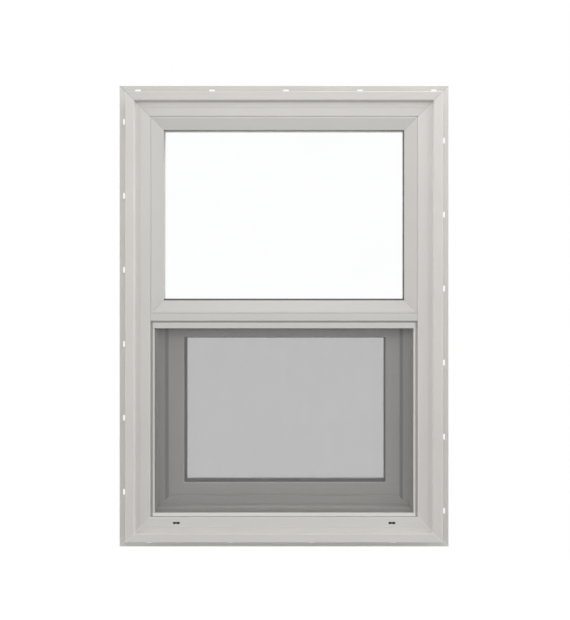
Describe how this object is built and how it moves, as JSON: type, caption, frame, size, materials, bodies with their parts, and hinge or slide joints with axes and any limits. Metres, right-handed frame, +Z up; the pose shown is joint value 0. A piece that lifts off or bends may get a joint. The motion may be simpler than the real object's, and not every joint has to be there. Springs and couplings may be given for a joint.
{
  "type": "single-hung vinyl window",
  "caption": "White vinyl single-hung window with nailing fins, siding channel, fixed upper light, lower sash and half insect screen",
  "frame": {"origin": "on the back face of the bottom nailing fin, in the middle of its length and width", "axes": "+X right seen from outside, +Y into the building, +Z up"},
  "size_m": [0.6668, 0.0905, 0.9335],
  "materials": {
    "vinyl": "satin",
    "glass": "polished",
    "spacer": "matte",
    "screen_frame": "satin",
    "screen_mesh": "matte",
    "black_rubber": "matte",
    "grey_pile": "matte",
    "grey_rubber": "matte",
    "hardware": "gloss",
    "balance_steel": "satin"
  },
  "bodies": {
    "root": {"finger_lift": "vinyl", "frame_head": "vinyl", "frame_left_jamb": "vinyl", "frame_right_jamb": "vinyl", "frame_sill": "vinyl", "left_balance": "balance_steel", "left_pile": "grey_pile", "left_tilt_latch": "vinyl", "meeting_pile": "grey_pile", "meeting_rail": "vinyl", "right_balance": "balance_steel", "right_pile": "grey_pile", "right_tilt_latch": "vinyl", "sash_bead_bottom": "vinyl", "sash_bead_left": "vinyl", "sash_bead_right": "vinyl", "sash_bead_top": "vinyl", "sash_bottom_rail": "vinyl", "sash_bottom_seal": "grey_rubber", "sash_inner_pane": "glass", "sash_keeper": "hardware", "sash_left_stile": "vinyl", "sash_lock_base": "hardware", "sash_lock_lever": "hardware", "sash_outer_pane": "glass", "sash_right_stile": "vinyl", "sash_spacer": "spacer", "sash_top_rail": "vinyl", "screen_bottom_bar": "screen_frame", "screen_left_bar": "screen_frame", "screen_mesh": "screen_mesh", "screen_right_bar": "screen_frame", "screen_spline": "black_rubber", "screen_top_bar": "screen_frame", "upper_bead_head": "vinyl", "upper_bead_left": "vinyl", "upper_bead_rail": "vinyl", "upper_bead_right": "vinyl", "upper_inner_pane": "glass", "upper_outer_pane": "glass", "upper_spacer": "spacer"}
  },
  "joints": []
}
